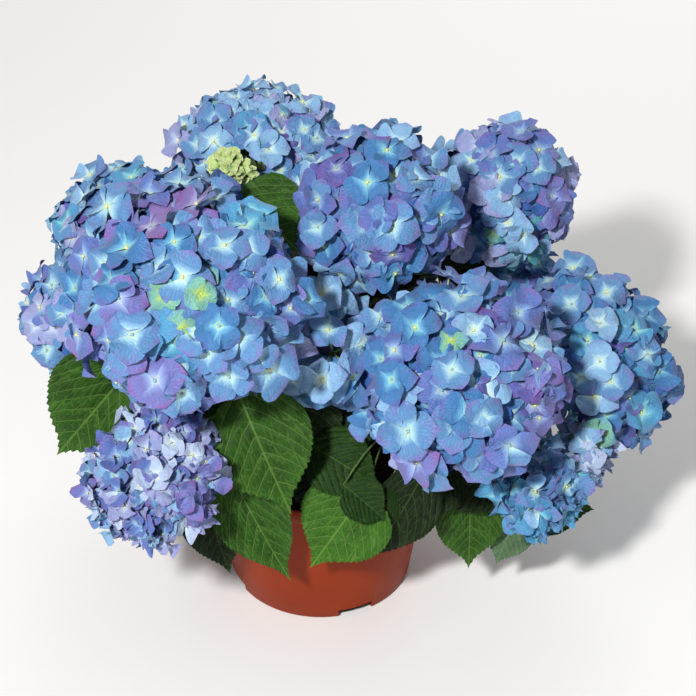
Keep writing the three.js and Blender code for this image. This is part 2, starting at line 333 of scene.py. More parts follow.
compost_edge = wall_radius(COMPOST_TOP) - COMPOST_GAP
bm = bmesh.new()
rings = [compost_edge * k / COMPOST_RINGS for k in range(COMPOST_RINGS, 0, -1)]
turned(
    bm,
    [(0, POT_FLOOR + 0.0004), (wall_radius(POT_FLOOR) - COMPOST_GAP, POT_FLOOR + 0.0004)]
    + [(radius, heap(radius)) for radius in rings]
    + [(0, heap(0))],
    72,
)
for vert in bm.verts:
    if vert.co.z > COMPOST_TOP - 0.001 and Vector(vert.co[:2]).length < compost_edge - 0.002:
        vert.co.z += sum(noise.noise(vert.co * close) * high for close, high in LUMPS)
crumb_maker = random.Random(11)
for k in range(CRUMBS):
    radius = (compost_edge - 0.004) * math.sqrt(crumb_maker.random())
    way = crumb_maker.uniform(0, TURN)
    size = crumb_maker.uniform(*CRUMB_SIZES)
    place = Matrix.Translation((radius * math.cos(way), radius * math.sin(way), heap(radius) + size * 0.3))
    shape = Matrix.Diagonal((1, crumb_maker.uniform(0.5, 1), crumb_maker.uniform(0.4, 0.8), 1))
    spin = Matrix.Rotation(crumb_maker.uniform(0, 6.28), 4, (0.3, 0.5, 0.8))
    bmesh.ops.create_icosphere(bm, subdivisions=1, radius=size, matrix=place @ spin @ shape)
compost = piece_from(bm, "peat_compost", peat(), smooth=False)
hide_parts("compost")


# ---- Trunk and boughs ----
# The short woody stem stands flared on the compost and parts into six woody boughs. Their bark is
# thin, grey-brown and ridged lengthwise, with paler corky specks.
TRUNK_HIGH = 0.024
TRUNK_FOOT = 0.014
# How far up the trunk, and its radius there, as shares of its height and of its foot's radius.
TRUNK_FLARE = (
    (0, 1),
    (0.06, 0.93),
    (0.14, 0.84),
    (0.25, 0.76),
    (0.4, 0.70),
    (0.6, 0.66),
    (0.8, 0.64),
    (0.92, 0.56),
    (1.0, 0.42),
)
TRUNK_SUNK = 0.002  # its foot stands this deep in the heap
CROWN_RING = 0.006  # the boughs leave the trunk's top this far from its axis
BOUGH_FOOT = 0.0048
BOUGH_TIP = 0.0038
BOUGH_TIPS = {
    "left_front": (-0.040, -0.028, 0.160),
    "left_back": (-0.030, 0.030, 0.170),
    "middle": (0.008, -0.002, 0.182),
    "right": (0.048, 0.020, 0.160),
    "front_right": (0.038, -0.034, 0.150),
    "back": (0.004, 0.048, 0.154),
}


def bark(name, furrow, ridge, speck):
    finish = Finish(name, 0.8, 0.25)
    at = finish.place()
    drawn = finish.node("Mapping", Vector=at, Scale=(260, 260, 45)).outputs["Vector"]
    grain = finish.cloud(drawn, 1, 5, 0.65)
    specks = finish.cloud(at, 330, 1)
    colour = finish.ramp(grain, (0.35, paint(furrow)), (0.62, paint(ridge)))
    colour = finish.blend(finish.grade(specks, 0.62, 0.70), colour, paint(speck))
    return finish.coat(colour, grain, 0.7, 0.0012)


def swept(bm, line, radii, sides):
    """A closed tapered limb: a ring extruded from point to point along a line."""
    ways = [(b - a).normalized() for a, b in zip(line, line[1:])]
    ways = [ways[0]] + [(a + b).normalized() for a, b in zip(ways, ways[1:])] + [ways[-1]]
    turn = ways[0].to_track_quat("Z", "Y")
    frames = []
    for spot, radius, before, way in zip(line, radii, [ways[0]] + ways, ways):
        turn = before.rotation_difference(way) @ turn
        frames.append(Matrix.Translation(spot) @ turn.to_matrix().to_4x4() @ Matrix.Scale(radius, 4))
    ring = bmesh.ops.create_circle(bm, cap_ends=True, segments=sides, radius=1, matrix=frames[0])["verts"]
    made = list(ring)
    edges = list({e for v in ring for e in v.link_edges})
    for here, there in zip(frames, frames[1:]):
        grown = bmesh.ops.extrude_edge_only(bm, edges=edges)["geom"]
        ring = [g for g in grown if isinstance(g, bmesh.types.BMVert)]
        fresh = set(ring)
        edges = [g for g in grown if isinstance(g, bmesh.types.BMEdge) and set(g.verts) <= fresh]
        bmesh.ops.transform(bm, matrix=there @ here.inverted(), verts=ring)
        made += ring
    bmesh.ops.edgeloop_fill(bm, edges=edges)
    return made


def curve(start, first, second, end, steps):
    """Points along a curve that leaves start towards first and comes into end from second."""
    shares = [k / steps for k in range(steps + 1)]
    return [
        start * (1 - t) ** 3 + first * 3 * t * (1 - t) ** 2 + second * 3 * t * t * (1 - t) + end * t**3
        for t in shares
    ]


def bough_line(tip, steps=18):
    end = Vector(tip)
    outward = Vector((end.x, end.y, 0)).normalized()
    start = outward * CROWN_RING
    start.z = COMPOST_TOP + COMPOST_MOUND + 0.7 * TRUNK_HIGH
    bend = start.lerp(end, 0.45) + outward * 0.15 * (end - start).length
    return curve(start, start.lerp(bend, 2 / 3), end.lerp(bend, 2 / 3), end, steps)


def ridged(bm, deep):
    """Raises lengthwise ridges and knobs on a limb."""
    bmesh.ops.recalc_face_normals(bm, faces=bm.faces)
    bm.normal_update()
    for vert in bm.verts:
        spot = Vector((vert.co.x * 420, vert.co.y * 420, vert.co.z * 70))
        vert.co += vert.normal * deep * (noise.noise(spot) + 0.7 * noise.noise(vert.co * 150))


trunk_foot = COMPOST_TOP + COMPOST_MOUND - TRUNK_SUNK
bm = bmesh.new()
swept(
    bm,
    [Vector((0, 0, trunk_foot + share * (TRUNK_HIGH + TRUNK_SUNK))) for share, _ in TRUNK_FLARE],
    [TRUNK_FOOT * wide for _, wide in TRUNK_FLARE],
    28,
)
ridged(bm, 0.0007)
trunk = piece_from(bm, "woody_stem", bark("stem_bark", "4b3d2e", "8a7558", "a8977a"))
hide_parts("trunk")

bm = bmesh.new()
for tip in BOUGH_TIPS.values():
    line = bough_line(tip)
    taper = [BOUGH_FOOT + (BOUGH_TIP - BOUGH_FOOT) * k / (len(line) - 1) for k in range(len(line))]
    swept(bm, line, taper, 12)
ridged(bm, 0.0004)
boughs = piece_from(bm, "woody_boughs", bark("bough_bark", "5c5334", "8f8a58", "aea683"))
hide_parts(*["bough_" + name for name in BOUGH_TIPS])


# ---- Flowering shoots ----
# This season's green shoots: one runs from a bough's tip to each flower head. They are smooth and
# round, flecked with red-brown, and swollen a little where each pair of leaves is borne.
# A head is told, in millimetres and degrees, by its middle, half width and height above the middle, the
# compass angle it faces and its lean, the bough that bears it, its florets' spacing and their kind.
HEADS = {
    "front_left": ((-80, -75, 291), (85, 74), (225, 22), "left_front", 19, "broad"),
    "front_right": ((90, -80, 226), (73, 68), (300, 28), "front_right", 18.6, "broad"),
    "centre": ((38, 6, 301), (60, 57), (300, 14), "middle", 17.5, "broad"),
    "back_left": ((-43, 106, 291), (59, 47), (110, 12), "left_back", 13.5, "broad"),
    "back_right": ((127, 87, 257), (53, 63), (30, 16), "right", 16, "broad"),
    "upper_left": ((-141, 72, 247), (49, 45), (155, 26), "left_back", 15, "broad"),
    "lower_left": ((-157, -14, 233), (48, 42), (185, 50), "left_front", 15, "broad"),
    "right": ((193, 12, 174), (69, 51), (0, 60), "right", 16.5, "broad"),
    "low_left": ((-107, -113, 173), (49, 44), (235, 50), "left_front", 10.5, "small"),
    "low_right": ((146, -88, 142), (33, 29), (310, 48), "front_right", 14, "small"),
    "small_right": ((183, -56, 148), (22, 20), (335, 55), "front_right", 12, "small"),
    "middle": ((2, -42, 219), (25, 29), (270, 20), "middle", 13, "crowded"),
    "back_middle": ((64, 142, 196), (56, 48), (70, 34), "back", 18, "broad"),
    "back_low_left": ((-104, 136, 164), (52, 44), (130, 46), "back", 17, "broad"),
    "back_low_right": ((152, 112, 150), (44, 38), (42, 50), "right", 16, "broad"),
    "young": ((-60, 42, 310), (15, 11), (100, 8), "left_back", 8, "bud"),
}
HEAD_BELOW = 0.72  # a head's depth below its middle, as a share of its height above
SHOOT_INSIDE = 0.012  # how far a shoot runs up into its head
SHOOT_FOOT = 0.0034
SHOOT_TIP = 0.0024
NODE_SWELL = 0.0008
NODE_AT = 0.7  # the share of a shoot's length at which it bears its upper leaves


def metres(spot):
    """A place that is given in millimetres."""
    return Vector(spot) / 1000


def facing(compass, lean):
    """The way that something looks which leans from upright towards a compass angle."""
    flat, down = math.radians(compass), math.radians(lean)
    return Vector((math.sin(down) * math.cos(flat), math.sin(down) * math.sin(flat), math.cos(down)))


def shoot_line(name, steps=20):
    middle, (_, height), faces, bough, _, _ = HEADS[name]
    axis = facing(*faces)
    start = Vector(BOUGH_TIPS[bough])
    end = metres(middle) + axis * (SHOOT_INSIDE - HEAD_BELOW * height / 1000)
    reach = (end - start).length
    line = bough_line(BOUGH_TIPS[bough])
    leaving = (line[-1] - line[-2]).normalized()
    return curve(start, start + leaving * 0.3 * reach, end - axis * 0.35 * reach, end, steps)


def green_stem(name, shade, light, fleck):
    finish = Finish(name, 0.55, 0.35)
    at = finish.place()
    colour = finish.ramp(finish.cloud(at, 70, 3), (0.35, paint(shade)), (0.65, paint(light)))
    spots = finish.grade(finish.cloud(at, 700, 1), 0.66, 0.72)
    colour = finish.blend(spots, colour, paint(fleck))
    return finish.coat(colour, finish.cloud(at, 500, 2), 0.2, 0.0005)


bm = bmesh.new()
for name in HEADS:
    line = shoot_line(name)
    last = len(line) - 1
    taper = [
        SHOOT_FOOT + (SHOOT_TIP - SHOOT_FOOT) * k / last + NODE_SWELL * math.exp(-((k - NODE_AT * last) ** 2))
        for k in range(last + 1)
    ]
    swept(bm, line, taper, 10)
bmesh.ops.recalc_face_normals(bm, faces=bm.faces)
shoots = piece_from(bm, "green_shoots", green_stem("shoot_skin", "5d7f34", "8fac58", "6d5a38"))
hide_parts(*["shoot_" + name for name in HEADS])


# ---- Florets ----
# Each floret is sterile: four broad coloured sepals, pointed at the tip, spread from a tiny bead of
# an unopened true flower. Sepals are thin, satiny, cupped and fan-veined, and overlap at their sides.
SEPAL_SQUARES = 4
SEPAL_STATIONS = (0, 0.125, 0.25, 0.375, 0.5, 0.625, 0.75, 0.875, 1)
SEPAL_HALVES = (0, 0.38, 0.68, 0.89, 0.99, 0.98, 0.86, 0.57, 0)
# Each kind: a sepal's length, how steeply it rises, how its tip droops, and how unruly the four are.
FLORET_FORMS = {
    "broad": (0.0188, (-0.06, 0.60), (-0.05, 0.80), 1.6),
    "small": (0.0115, (0.15, 1.10), (-0.40, 0.90), 3.4),
    "bud": (0.0048, (0.35, 1.30), (-0.30, 0.60), 2.4),
}
FLORET_SHAPES = {"broad": (12, 100), "small": (10, 200), "bud": (4, 300)}  # how many, and their first seed
# Millimetres between full-grown florets. On a crowded head they are broad, and stand closer.
ROOM = {"broad": 22, "crowded": 15, "small": 12.5, "bud": 6.5}
LAP = 0.26  # how far each sepal is turned over the next
STEEPEST = 0.85
HEART_GAP = 0.0005  # from the floret's middle to a sepal's foot
SEPAL_STEP = 0.0004  # every second sepal springs from this much higher
BEAD = 4  # the part number of the floret's middle, after its four sepals
BEAD_SIZE = 0.075  # its radius, as a share of a sepal's length
BEAD_HEIGHT = 0.0011
TILES = 4  # the florets' bake map has this many tiles a side
TILE_EDGE = 0.04

# Each tint: its heart, the pale part round it, its main colour, its mottling and its rim.
# The rim is partly the sepals' own lilac edge and partly painted shade, darker to part one sepal from the
# next where they overlap.
SEPAL_TINTS = {
    "sky": "cce0b6 a0cee4 5c90c2 7084c0 7870b4",
    "azure": "a8d2b2 70b4da 3e7ab2 527ab8 6064a8",
    "deep": "a2c6a8 5694c6 3464ac 4260b0 4a4e9a",
    "periwinkle": "b2cabc 84a8da 5a76ba 6c70b8 7a62aa",
    "lilac": "bccac4 94aadc 7078bc 7e72b8 8662aa",
    "violet": "b4c0b2 8090cc 5e62ac 6c5ca8 744e98",
    "mauve": "c0c0c0 9a98cc 7e6eac 8666a8 885698",
    "ice": "d6e8c6 bce0ee 86b8de 94aedc 849cd2",
    "aqua": "c4e2b2 86ccdc 4c9ac4 5c92c6 5a80ba",
    "lavender": "d2dac6 b6c4e4 96a2d2 9ea0ce 8684c0",
    "pearl": "e2ecd2 d2e2f0 b6cbe8 bac2e4 a0a0d4",
    "lime": "a6c250 aace7c 80bca6 74b0bc 6098c4",
    "teal": "98bc5c 7abea8 4e9cae 5a9eaa 427aac",
    # The young head's green is darkest at the heart, partly painted shade for the gaps in its tight cluster,
    # and cream at the rim, partly painted highlight.
    "green": "4e7a2c 8fb652 d0e298 b0ce74 f6f8dc",
}
BEAD_TINTS = {"bead_cream": "dfe3a4", "bead_blue": "86b4d4"}


def sepal_satin(name, colours, number):
    """Veined, mottled sepal skin, drawn on the sepal's own map: u across it, v from heart to tip."""
    heart, pale, body, mottle, rim = [paint(code) for code in colours.split()]
    finish = Finish("sepal_" + name, 0.5, 0.3)
    at = finish.place("sepal")
    parts = finish.node("SeparateXYZ", Vector=at)
    across, along = parts.outputs["X"], parts.outputs["Y"]
    shifted = finish.node("Mapping", Vector=at, Location=(3.1 * number, 1.7 * number, 0)).outputs["Vector"]
    cloud = finish.cloud(shifted, 3.2, 4, 0.6)
    wavering = finish.sum("MULTIPLY_ADD", cloud, 0.2, finish.times(along, 0.84))
    colour = finish.ramp(
        wavering, (0.08, heart), (0.13, heart), (0.26, pale), (0.46, body), (0.70, body), (0.90, rim)
    )
    blotch = finish.grade(finish.cloud(shifted, 4.6, 3, 0.6), 0.46, 0.64)
    colour = finish.blend(finish.times(blotch, finish.grade(along, 0.25, 0.7)), colour, mottle)
    aside = finish.sum("SUBTRACT", across, 0.5)
    angle = finish.sum("ARCTAN2", aside, finish.sum("ADD", along, 0.16))
    fan = finish.sum("MULTIPLY_ADD", finish.cloud(shifted, 7, 3), 8, finish.times(angle, 30))
    line = finish.sum("POWER", finish.sum("ABSOLUTE", finish.sum("COSINE", fan)), 14)
    faint = finish.times(line, finish.grade(along, 0.12, 0.35))
    colour = finish.blend(finish.times(faint, 0.17), colour, body, "MULTIPLY")
    finish.shader.inputs["Sheen Weight"].default_value = 0.12
    crumple = finish.cloud(shifted, 5.0, 3, 0.6)
    crinkle = finish.sum("MULTIPLY_ADD", crumple, 1.4, finish.times(faint, -0.15))
    return finish.coat(colour, crinkle, 0.65, 0.0022)


def small_mesh():
    """An empty mesh, with a map and with a part number for each face."""
    bm = bmesh.new()
    return bm, bm.loops.layers.uv.new("map"), bm.faces.layers.int.new("part")


def on_blade(vert, stations, halves):
    """Where a point of a grid that stands on its corner lies on a blade, between its base and its tip.

    Gives how far along it is, its share of the way out to the edge, and how far out that is in half widths.
    """
    a, b = vert.co.x + 0.5, vert.co.y + 0.5
    along, across = (a + b) / 2, a - b
    side = across / max(min(2 * along, 2 - 2 * along), 1e-6)
    return along, side, float(np.interp(along, stations, halves)) * side


def floret(kind, seed):
    """One floret, opened flat on the ground plane, its bead upwards. Gives its finished mesh's data."""
    chance = random.Random(seed)
    long, rise, droop, unruly = FLORET_FORMS[kind]
    bm, layer, number = small_mesh()
    opening = chance.uniform(*rise)
    lap = chance.choice((-LAP, LAP))  # each sepal overlaps the next, all the same way round
    for part in range(4):
        reach = long * chance.uniform(0.88, 1.08)
        wide = reach * chance.uniform(0.56, 0.66)  # half of its width
        lifted = min(STEEPEST, opening + chance.uniform(-0.14, 0.14) * unruly)
        curl = chance.uniform(*droop)
        fold = chance.uniform(-0.10, 0.28) * unruly
        twist = lap + chance.uniform(-0.16, 0.16) * unruly
        cup = chance.uniform(-0.16, 0.20) * unruly
        wave = chance.uniform(0.03, 0.08) * unruly
        phase = chance.uniform(0, 6.28)
        point = chance.uniform(0.03, 0.15)
        before = set(bm.faces)
        grid = bmesh.ops.create_grid(bm, x_segments=SEPAL_SQUARES, y_segments=SEPAL_SQUARES, size=0.5)
        for face in set(bm.faces) - before:
            face[number] = part
        for vert in grid["verts"]:
            along, _, half = on_blade(vert, SEPAL_STATIONS, SEPAL_HALVES)
            for loop in vert.link_loops:
                loop[layer].uv = (0.5 + 0.49 * half, 0.01 + 0.98 * along)
            # A sepal is drawn out to a point. It rises, curls at its tip, folds, twists, cups and waves.
            y = reach * (along + point * along**8)
            x = wide * half
            z = lifted * y * (1 - 0.35 * along) - curl * reach * along**3 + fold * abs(x) + twist * x * along
            z += cup * reach * half * half * along
            z += wave * reach * abs(half) * math.sin(phase + 9 * along + 2 * half)
            vert.co = (x, y + HEART_GAP, z)
        height = SEPAL_STEP if part % 2 else 0.0
        turn = Matrix.Rotation(part * math.pi / 2 + chance.uniform(-0.13, 0.13) * unruly, 4, "Z")
        bmesh.ops.transform(bm, matrix=Matrix.Translation((0, 0, height)) @ turn, verts=grid["verts"])
    before = set(bm.faces)
    middle = Matrix.Translation((0, 0, BEAD_HEIGHT)) @ Matrix.Diagonal((1, 1, 0.9, 1))
    bead = bmesh.ops.create_icosphere(bm, subdivisions=1, radius=BEAD_SIZE * long, matrix=middle)["verts"]
    for face in set(bm.faces) - before:
        face[number] = BEAD
    for vert in bead:
        for loop in vert.link_loops:
            loop[layer].uv = (0.5 + 200 * vert.co.x, 0.5 + 200 * vert.co.y + 30 * vert.co.z)
    return shape_of(bm, layer, number)


def shape_of(bm, layer, number):
    """A small mesh as arrays: points, faces, their corners' map places and their part numbers."""
    bm.verts.index_update()
    shape = {
        "points": np.array([v.co for v in bm.verts]),
        "faces": [[v.index for v in f.verts] for f in bm.faces],
        "uv": np.array([loop[layer].uv for f in bm.faces for loop in f.loops]),
        "part": np.array([f[number] for f in bm.faces]),
        "size": np.array([len(f.verts) for f in bm.faces]),
    }
    bm.free()
    return shape


def joined(name, copies, layer_name, finishes, tiles):
    """Copies of small shapes as one piece. A copy is its shape, its points and its faces' finishes."""
    shapes, placed, finished = zip(*copies)
    starts = np.cumsum([0] + [len(points) for points in placed[:-1]]).tolist()
    faces = [[i + start for i in face] for shape, start in zip(shapes, starts) for face in shape["faces"]]
    finish = np.concatenate(finished)
    uv, size = [np.concatenate([shape[key] for shape in shapes]) for key in ("uv", "size")]
    mesh = bpy.data.meshes.new(name)
    mesh.from_pydata(np.concatenate(placed).tolist(), [], faces)
    own = mesh.uv_layers.new(name=layer_name)
    own.data.foreach_set("uv", uv.ravel())
    tile = np.repeat(finish, size)
    corner = np.stack([tile % tiles, tile // tiles], axis=1)
    baked = (corner + TILE_EDGE + uv.clip(0, 1) * (1 - 2 * TILE_EDGE)) / tiles
    mesh.uv_layers.new(name="OFBake").data.foreach_set("uv", baked.ravel())
    mesh.polygons.foreach_set("material_index", finish.astype(np.int32))
    mesh.update()
    return piece_of(mesh, name, finishes)


floret_kinds = {
    kind: [floret(kind, first + k) for k in range(count)] for kind, (count, first) in FLORET_SHAPES.items()
}
floret_kinds["crowded"] = floret_kinds["broad"]
sepal_finishes = [sepal_satin(name, colours, k) for k, (name, colours) in enumerate(SEPAL_TINTS.items())]
sepal_finishes += [Finish(name, 0.45, 0.4).coat(paint(code)) for name, code in BEAD_TINTS.items()]
tint_number = {name: k for k, name in enumerate(list(SEPAL_TINTS) + list(BEAD_TINTS))}


# ---- Flower heads ----
# A mophead is a dome of overlapping florets. Outer florets stand a little proud of or behind their
# neighbours, and a second, deeper layer closes the gaps. Tints drift over a head in patches.
# Heads that lie more in shade, the middle, centre, right, low right and back left and right heads, have more
# of the pale ice and sky tints, as painted light.
HEAD_TINTS = {
    "front_left": "sky azure sky aqua sky azure sky periwinkle sky azure lilac sky deep",
    "front_right": "sky azure periwinkle sky azure sky azure ice periwinkle sky",
    "centre": "sky periwinkle sky ice periwinkle sky azure sky ice violet",
    "back_left": "sky ice lavender sky ice aqua sky lavender ice",
    "back_right": "sky ice periwinkle ice lavender lavender sky ice",
    "upper_left": "sky ice sky aqua ice sky lavender",
    "lower_left": "lavender sky ice lavender sky lavender periwinkle",
    "right": "azure sky aqua sky azure sky ice aqua periwinkle",
    "low_left": "lavender lilac pearl sky lavender periwinkle ice lavender",
    "low_right": "sky aqua ice sky ice aqua sky",
    "small_right": "lavender aqua ice lavender pearl aqua",
    "middle": "ice sky ice aqua ice lavender",
    "back_middle": "sky azure periwinkle sky ice sky lilac",
    "back_low_left": "periwinkle lavender sky lilac sky",
    "back_low_right": "azure aqua sky azure periwinkle",
    "young": "green",
}
# Where a head differs from the rest of itself: a spot in millimetres, how far it reaches, its tints.
# The lilac and violet patches on the heads' lower and right-hand sides, away from the lamp, are partly the
# florets' own colour and partly painted shade.
HEAD_PATCHES = {
    "front_left": [
        ((-78, -130, 324), 20, "lime lime aqua"),
        ((-74, -106, 352), 9, "aqua lime"),
        ((-102, -75, 360), 32, "lilac periwinkle mauve lilac sky"),
        ((-19, -104, 325), 24, "lilac periwinkle sky"),
        ((-147, -119, 285), 26, "lilac periwinkle sky"),
        ((-46, -130, 238), 24, "lilac periwinkle sky azure"),
    ],
    "front_right": [
        ((85, -114, 278), 12, "lime aqua"),
        ((156, -112, 238), 34, "lilac violet periwinkle"),
        ((76, -138, 188), 24, "lavender lilac sky"),
    ],
    "centre": [
        ((98, -12, 300), 26, "lilac violet periwinkle"),
        ((58, -42, 258), 20, "violet lilac sky"),
    ],
    "back_right": [
        ((142, 40, 252), 24, "teal lime aqua ice"),
        ((156, 56, 280), 20, "mauve lilac periwinkle"),
    ],
    "low_left": [((-62, -118, 160), 14, "lime teal"), ((-80, -94, 201), 12, "teal lime")],
    "low_right": [((150, -103, 162), 10, "lime teal")],
    "small_right": [((183, -70, 160), 14, "lime pearl ice")],
}
# Where leaves and neighbours press on a head: a spot in millimetres, its reach, and how far the
# florets there are pushed in. A minus pushes them out.
HEAD_DENTS = {
    "front_left": [
        ((-12, -45, 325), 62, 24),
        ((-58, -30, 350), 44, 21),
        ((-93, -42, 356), 28, -12),
        ((-15, -110, 240), 40, -10),
        ((2, -84, 284), 34, 13),
        ((-124, -62, 346), 30, -7),
    ],
    "front_right": [((136, -112, 174), 34, 16), ((52, -135, 168), 42, -5), ((78, -138, 178), 28, 9)],
    "back_left": [((-40, 104, 338), 50, 8)],
    "back_right": [((98, 52, 235), 48, -9)],
    "low_right": [((146, -98, 172), 26, 12), ((126, -98, 164), 22, 12)],
    "small_right": [((180, -74, 154), 28, -7), ((206, -58, 144), 28, 13)],
    "low_left": [((-145, -100, 205), 42, 16)],
    "young": [((-60, 42, 310), 60, -7)],
    "middle": [((4, -70, 240), 54, -54), ((2, -66, 211), 26, 22)],
}
LAYERS = ((1.0, 1.0), (0.73, 1.05))  # each layer's share of the head's size, and how much wider it is spaced
OPEN_BELOW = -0.62  # florets stop this far round the underside, as the cosine from the way it faces
HONEYCOMB = 0.866  # the area a floret has among its neighbours, over the square of their spacing
NEIGHBOUR_ROOM = 0.002  # how clear of a neighbouring head the florets keep
ROOM_FOR_YOUNG = 0.014  # and how clear of the young head
TO_WINDOW = Vector((-0.25, -0.78, 0.57))  # the plant grew with its front to the light
FIRST_DEPTH = 0.32  # in spacings, as are the depth steps
DEPTH_STEPS = {"broad": 0.76, "crowded": 1.1, "small": 1.1, "bud": 1.1}
NUDGE = 0.22  # how far a place is moved off its even spacing, at random
FEWEST = 12  # a layer of even the smallest head has this many places
NOD, MOST_NOD = 0.22, 0.36  # how far florets lean from the way they should face, at random
FLORET_SIZES = (0.82, 1.14)
UNEVEN = 0.0005
UNRIPE = 0.7  # the greenish broad florets are young, and have grown to this share of the others' size
SHADED_TINTS = ("deep", "azure", "deep", "violet")
SHADED_SHARE = 0.75  # this share of a broad head's deeper layer has the shaded tints, darker ones painted as shade in the gaps
PATCH_SHARE = 0.85  # of the florets in a patch, the share that has its tints
ODD_TINTS = 0.35  # elsewhere, the share that doesn't follow the drift
WHOLE_TINT = 0.93  # the share of sepals that keep to their floret's tint
CREAM_BEADS = 0.6


def scatter(chance, spread):
    """A step in any direction, at random."""
    return Vector([chance.gauss(0, spread) for _ in range(3)])


def even_ways(count, chance):
    """Directions spread evenly over a sphere by the golden angle, each nudged a little."""
    gap = math.sqrt(4 * math.pi / count)
    for k in range(count):
        up = 1 - 2 * (k + 0.5) / count
        flat = math.sqrt(1 - up * up)
        turn = k * math.pi * (3 - math.sqrt(5))
        way = Vector((flat * math.cos(turn), flat * math.sin(turn), up))
        yield (way + NUDGE * gap * scatter(chance, 1)).normalized()


def surface_of(node):
    """A CAD solid's surface, to cast rays on."""
    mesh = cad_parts[node].data
    points = [v.co.copy() for v in mesh.vertices]
    return BVHTree.FromPolygons(points, [list(p.vertices) for p in mesh.polygons])


head_surfaces = {name: surface_of("bloom_" + name) for name in HEADS}


def has_room(name, spot):
    """Whether a place on a head is clear of all the other heads."""
    return all(
        surface.find_nearest(spot, ROOM_FOR_YOUNG if other == "young" else NEIGHBOUR_ROOM)[0] is None
        for other, surface in head_surfaces.items()
        if other != name
    )


def clamped(value):
    return max(0, min(1, value))


def place_florets(name, seed):
    """Where the florets of a head stand: their places, the ways they face, their spins and their layers."""
    middle, half, faces, _, apart, kind = HEADS[name]
    chance = random.Random(seed)
    middle = metres(middle)
    axis = facing(*faces)
    apart = apart / 1000
    mean_radius = (half[0] * half[0] * half[1] * (1 + HEAD_BELOW) / 2) ** (1 / 3) / 1000
    stands = []
    for layer, (share, wider) in enumerate(LAYERS):
        count = int(2 * TURN * (mean_radius * share) ** 2 / (HONEYCOMB * (apart * wider) ** 2))
        for k, way in enumerate(even_ways(max(count, FEWEST), chance)):
            if way.dot(axis) < OPEN_BELOW:
                continue
            hit, normal, _, _ = head_surfaces[name].ray_cast(middle, way)
            if hit is None or not has_room(name, hit):
                continue
            # It looks outwards and a little up, and at the front and top it also turns to the window.
            sunny = 0.40 * clamped(1.15 - way.y) * clamped(0.8 + 0.8 * way.z)
            out = (0.40 * normal + 0.42 * way + Vector((0, 0, 0.10)) + sunny * TO_WINDOW).normalized()
            step = (k % 3 + chance.uniform(-0.3, 0.3)) / 2  # neighbours stand at different depths
            deep = (FIRST_DEPTH + DEPTH_STEPS[kind] * step) * apart
            spot = middle + (hit - middle) * share - out * (deep if layer == 0 else 0)
            for dent, reach, push in HEAD_DENTS.get(name, []):
                near = max(0, 1 - (hit - metres(dent)).length * 1000 / reach)
                spot -= way * near * push / 1000
            nod = Vector([max(-MOST_NOD, min(MOST_NOD, chance.gauss(0, NOD))) for _ in range(3)])
            stands.append((spot, (out + nod).normalized(), chance.uniform(0, TURN), layer))
    return stands


def tint_at(name, spot, chance):
    """Tints drift in patches over a head, with odd florets between."""
    tints = HEAD_TINTS[name].split()
    for middle, reach, other in HEAD_PATCHES.get(name, []):
        if (spot - metres(middle)).length < reach / 1000 and chance.random() < PATCH_SHARE:
            return chance.choice(other.split())
    if chance.random() < ODD_TINTS:
        return chance.choice(tints)
    drift = noise.noise(spot * 22 + Vector((7, 3, 1))) * 0.9 + chance.gauss(0, 0.16)
    return tints[int((0.5 + 0.8 * drift) * len(tints)) % len(tints)]


def flower_head(name, seed):
    """Sets a head's florets as one piece, and gives the places where they stand."""
    *_, apart, kind = HEADS[name]
    chance = random.Random(seed)
    copies = []
    stands = place_florets(name, seed + 1)
    for spot, out, spin, layer in stands:
        shape = chance.choice(floret_kinds[kind])
        turn = out.to_track_quat("Z", "Y").to_matrix() @ Matrix.Rotation(spin, 3, "Z")
        size = apart / ROOM[kind] * chance.uniform(*FLORET_SIZES)
        main = tint_at(name, spot, chance)
        if main == "lime" and kind == "broad":
            size *= UNRIPE
        points = size * shape["points"] @ np.array(turn).T + np.array(spot)
        points += UNEVEN * np.sin(points[:, [1, 2, 0]] * 310 + spin)  # no two grow quite alike
        # Most florets of a broad head's deeper layer get darker tints, as painted shade in the gaps between
        # the outer florets.
        if layer == 1 and kind == "broad" and chance.random() < SHADED_SHARE:
            main = chance.choice(SHADED_TINTS)
        each = [main if chance.random() < WHOLE_TINT else tint_at(name, spot, chance) for _ in range(4)]
        each.append("bead_cream" if chance.random() < CREAM_BEADS else "bead_blue")
        copies.append((shape, points, np.array([tint_number[t] for t in each])[shape["part"]]))
    head = joined("florets_" + name, copies, "sepal", sepal_finishes, TILES)
    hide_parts("bloom_" + name)
    return stands


head_stands = {name: flower_head(name, 1000 + 17 * k) for k, name in enumerate(HEADS)}


# ---- Flower stalks ----
# Inside a head the shoot forks into rays, each ray into thin stalks, and every stalk ends under the
# middle of a floret. They are pale green, and show through the gaps and from below.
RAY = 0.0012
FLORET_STALK = 0.0006
FOOT_SWELL = 1.3  # a ray or stalk is this much thicker where it leaves what bears it
FLORETS_ON_RAY = 8


def stalk_shape(sides, steps):
    """A tube one unit long and one unit in radius, along Z, to be bent and placed."""
    bm, layer, number = small_mesh()
    swept(bm, [Vector((0, 0, k / steps)) for k in range(steps + 1)], [1] * (steps + 1), sides)
    bmesh.ops.recalc_face_normals(bm, faces=bm.faces)
    for face in bm.faces:
        for loop in face.loops:
            loop[layer].uv = (0.5 + 0.4 * loop.vert.co.x, loop.vert.co.z)
    return shape_of(bm, layer, number)


def bent_stalk(shape, start, end, thin, bow):
    """The unit tube laid from start to end, bowed sideways by the vector bow."""
    way = np.array((end - start).to_track_quat("Z", "Y").to_matrix())
    share = shape["points"][:, 2:3]
    thick = thin * FOOT_SWELL
    flat = shape["points"] * [1, 1, 0] * (thick + (thin - thick) * share)
    line = np.array(start) + share * np.array(end - start) + 4 * share * (1 - share) * np.array(bow)
    return (shape, flat @ way.T + line, np.zeros(len(shape["faces"]), int))


